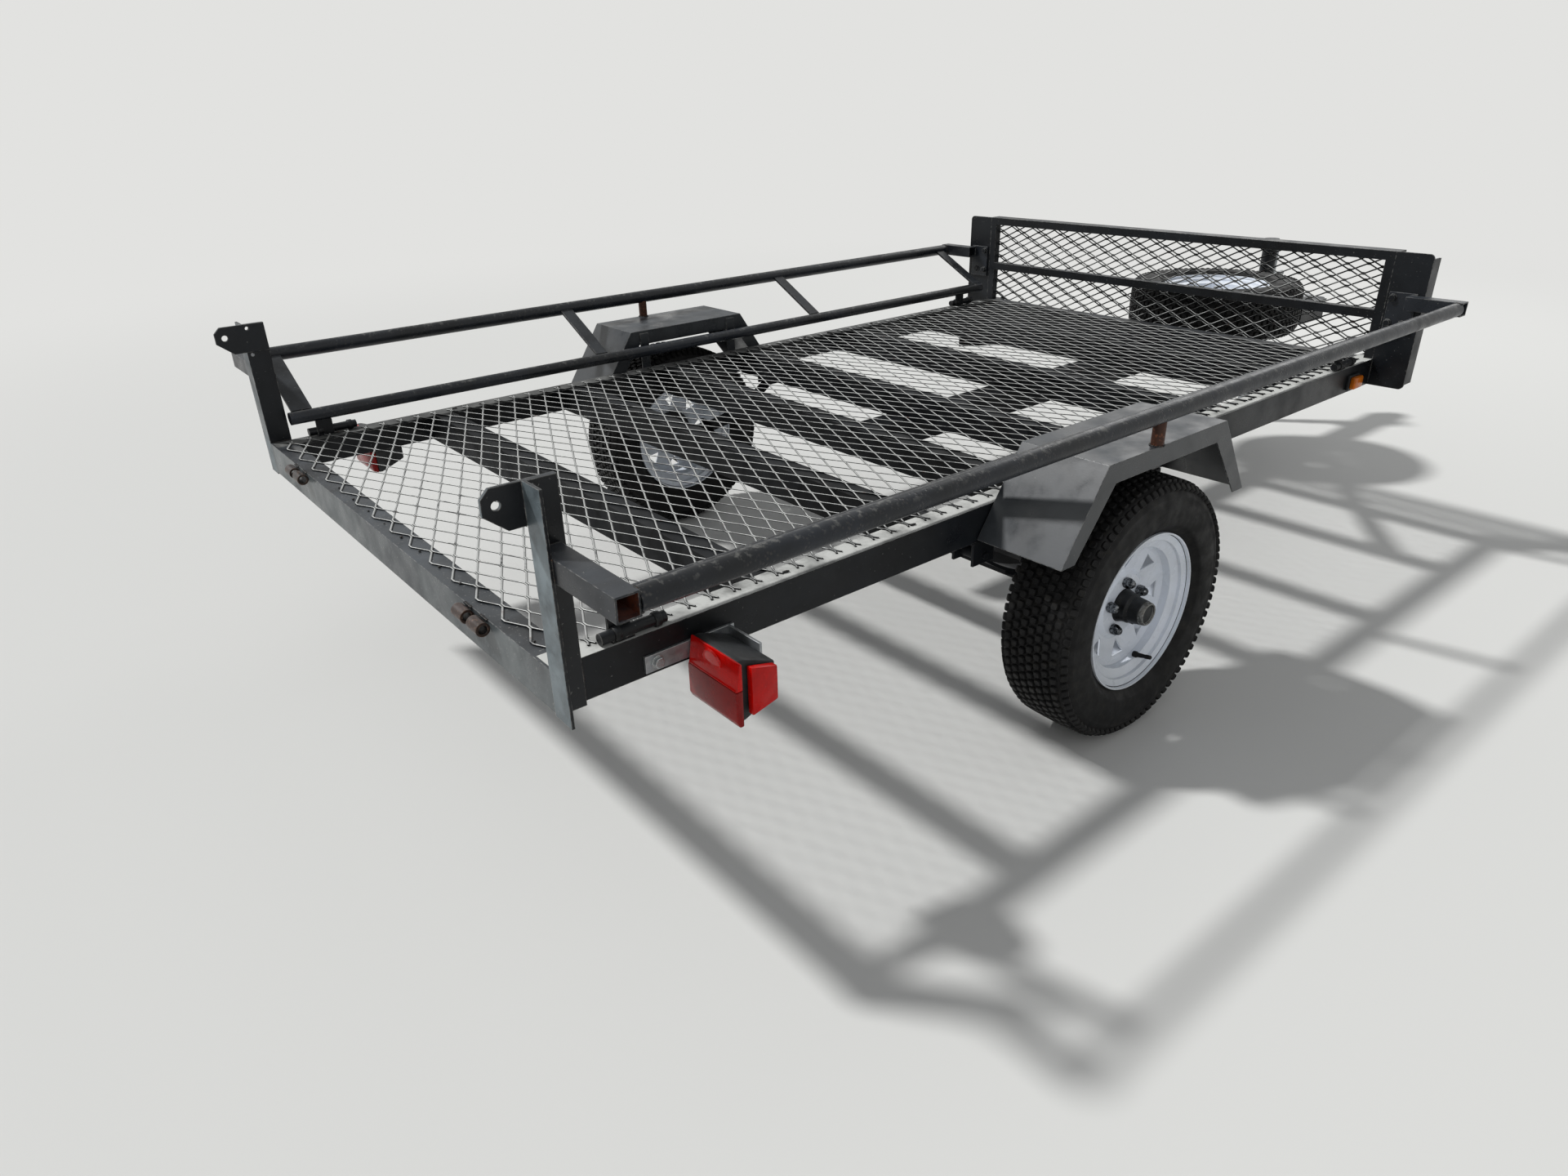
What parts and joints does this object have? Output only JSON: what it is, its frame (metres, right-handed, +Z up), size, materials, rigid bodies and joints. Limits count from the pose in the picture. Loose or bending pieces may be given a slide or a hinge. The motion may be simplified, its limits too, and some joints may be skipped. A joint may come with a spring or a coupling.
{
  "type": "utility trailer",
  "caption": "Single-axle utility trailer with a mesh floor, mesh headboard, round side rails, fenders, a spare wheel on the tongue and a tongue jack.",
  "frame": {"origin": "on the ground under the middle of the trailer's length and width, as it parks on its jack", "axes": "+X forward to the coupler, +Y to the trailer's left, +Z up"},
  "size_m": [4.111, 1.9428, 0.886],
  "materials": {
    "amber_lens": "clear amber plastic",
    "black_steel": "worn black paint over steel",
    "hub_black": "satin black",
    "lamp_plastic": "black plastic",
    "red_lens": "clear red plastic",
    "tyre": "matt rubber",
    "white_rim": "gloss white paint",
    "zinc": "zinc plated steel"
  },
  "bodies": {
    "frame": {"axle_beam": "black_steel", "coupler": "black_steel", "coupler_latch": "zinc", "fender_left": "black_steel", "fender_right": "black_steel", "fender_stub_left": "black_steel", "fender_stub_right": "black_steel", "floor_crossmembers": "black_steel", "floor_mesh": "black_steel", "front_crossmember": "black_steel", "front_post_left": "black_steel", "front_post_right": "black_steel", "gate_barrels_left": "black_steel", "gate_barrels_right": "black_steel", "headboard_frame": "black_steel", "headboard_mesh": "black_steel", "inner_rail_left": "black_steel", "inner_rail_right": "black_steel", "jack_crank": "zinc", "jack_housing": "black_steel", "lamp_brackets": "black_steel", "leaf_springs": "black_steel", "outer_rail_left": "black_steel", "outer_rail_right": "black_steel", "outriggers_left": "black_steel", "outriggers_right": "black_steel", "rail_seats": "black_steel", "rail_struts_left": "black_steel", "rail_struts_right": "black_steel", "rear_crossmember": "black_steel", "rear_post_left": "black_steel", "rear_post_right": "black_steel", "side_markers": "amber_lens", "side_rail_left": "black_steel", "side_rail_right": "black_steel", "spare_carrier": "zinc", "spare_rim": "white_rim", "spare_tyre": "tyre", "spring_clamps": "black_steel", "spring_hangers": "black_steel", "tail_lamps": "lamp_plastic", "tail_lenses": "red_lens", "tongue_beam": "black_steel", "tongue_braces": "black_steel"},
    "jack_leg": {"jack_leg": "zinc"},
    "wheel_left": {"tyre_left": "tyre", "rim_left": "white_rim", "hub_left": "hub_black"},
    "wheel_right": {"tyre_right": "tyre", "rim_right": "white_rim", "hub_right": "hub_black"}
  },
  "joints": [
    {"name": "wheel_left_turn", "type": "hinge", "parent": "frame", "child": "wheel_left", "pos_m": [-0.7055, 0.88, 0.3], "axis": [0, 1, 0], "continuous": true},
    {"name": "wheel_right_turn", "type": "hinge", "parent": "frame", "child": "wheel_right", "pos_m": [-0.7055, -0.88, 0.3], "axis": [0, 1, 0], "continuous": true},
    {"name": "jack_leg_slide", "type": "slide", "parent": "frame", "child": "jack_leg", "axis": [0, 0, 1], "range_m": [-0.08, 0.245]}
  ]
}
